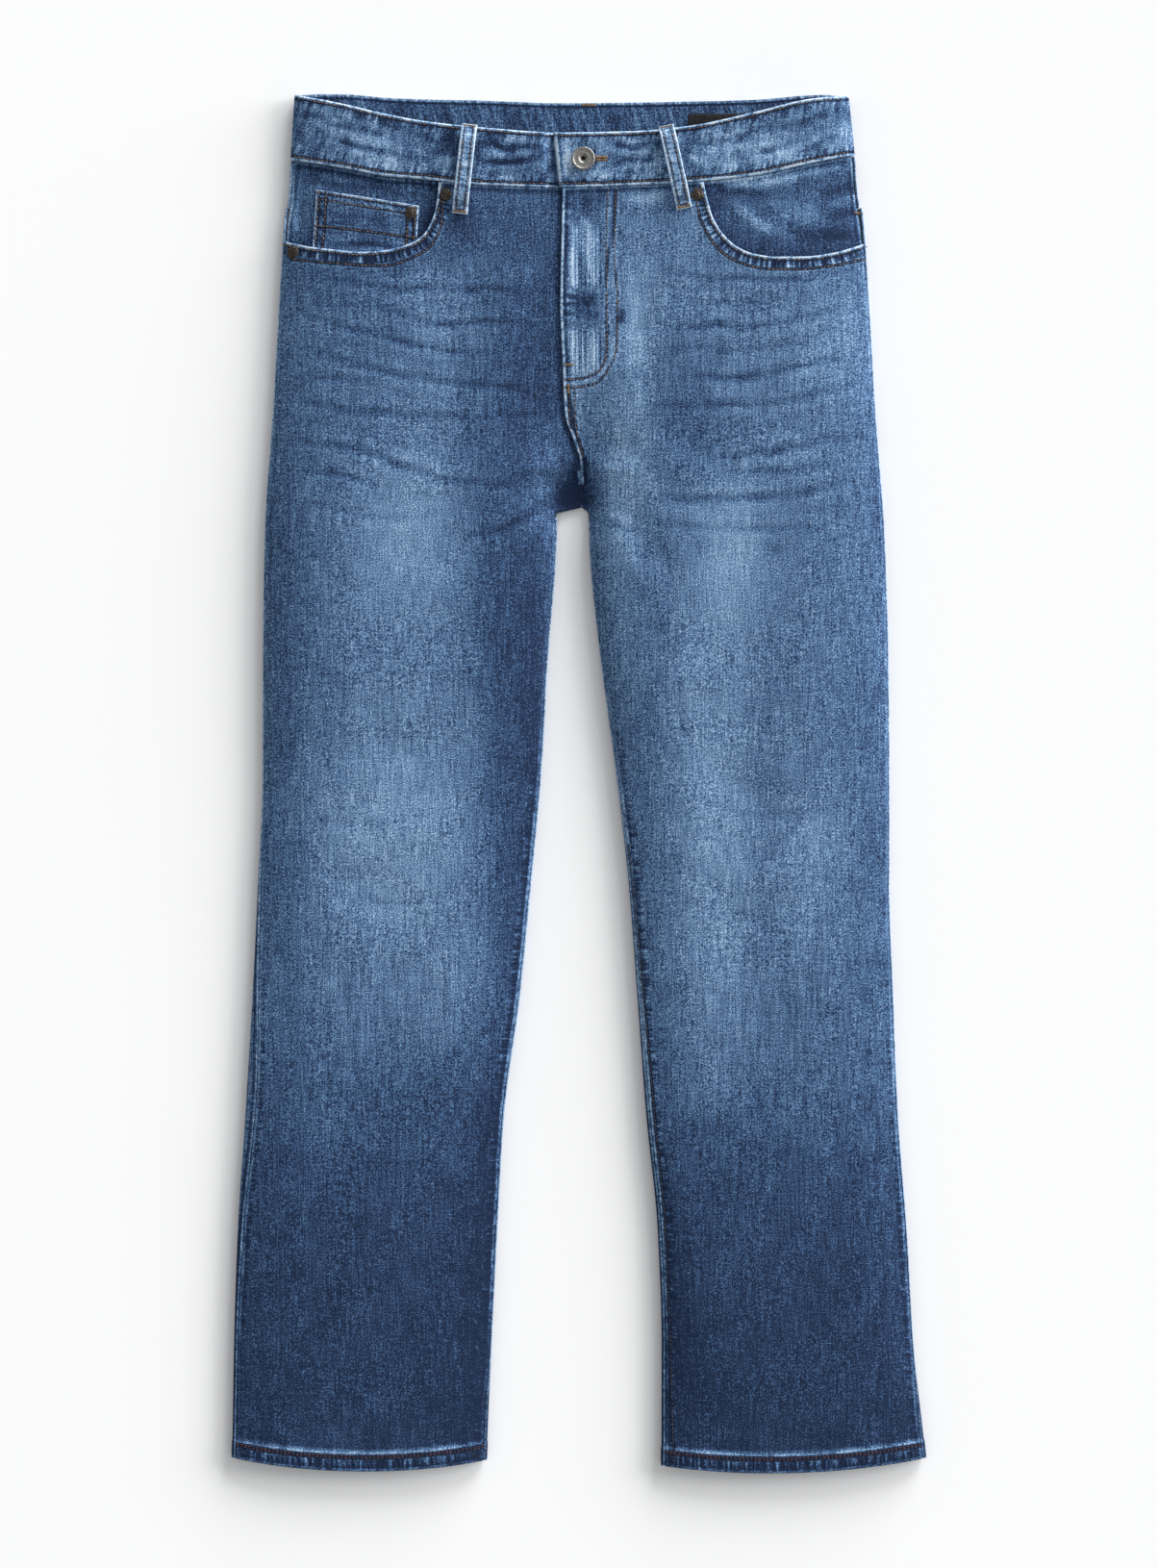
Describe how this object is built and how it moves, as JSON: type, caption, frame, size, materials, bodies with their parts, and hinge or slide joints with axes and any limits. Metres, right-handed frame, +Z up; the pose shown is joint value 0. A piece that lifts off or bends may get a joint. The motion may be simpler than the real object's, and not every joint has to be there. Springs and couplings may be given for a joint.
{
  "type": "bootcut jeans laid flat",
  "caption": "Bootcut denim jeans laid flat on their back, with waistband, fly, belt loops, front pockets, coin pocket and patch pockets.",
  "frame": {"origin": "centre of the footprint, on the surface the jeans lie on", "axes": "+Y along the legs towards the waist, +X towards the wearer's left leg, +Z up out of the front of the jeans"},
  "size_m": [0.5569, 1.1043, 0.0226],
  "materials": {
    "denim": "mid-blue stonewashed stretch twill, faded on thighs and knees",
    "pocket_denim": "darker, less worn twill inside the pocket mouths",
    "zip_tape": "navy woven tape",
    "nickel": "aged nickel plate",
    "bronze": "dark antique bronze",
    "label_cloth": "plain black woven cloth, bare"
  },
  "bodies": {
    "root": {"front_panel_right": "denim", "front_panel_left": "denim", "back_panel_right": "denim", "back_panel_left": "denim", "back_yoke_right": "denim", "back_yoke_left": "denim", "back_pocket_right": "denim", "back_pocket_left": "denim", "waistband": "denim", "belt_loop_front_right": "denim", "belt_loop_front_left": "denim", "belt_loop_back_right": "denim", "belt_loop_back_center": "denim", "belt_loop_back_left": "denim", "pocket_facing_right": "pocket_denim", "pocket_facing_left": "pocket_denim", "coin_pocket": "pocket_denim", "fly_zip": "zip_tape", "waist_button": "nickel", "rivet_coin_pocket": "bronze", "rivet_pocket_right_outer": "bronze", "rivet_pocket_right_inner": "bronze", "rivet_pocket_left_inner": "bronze", "waist_label": "label_cloth"}
  },
  "joints": []
}
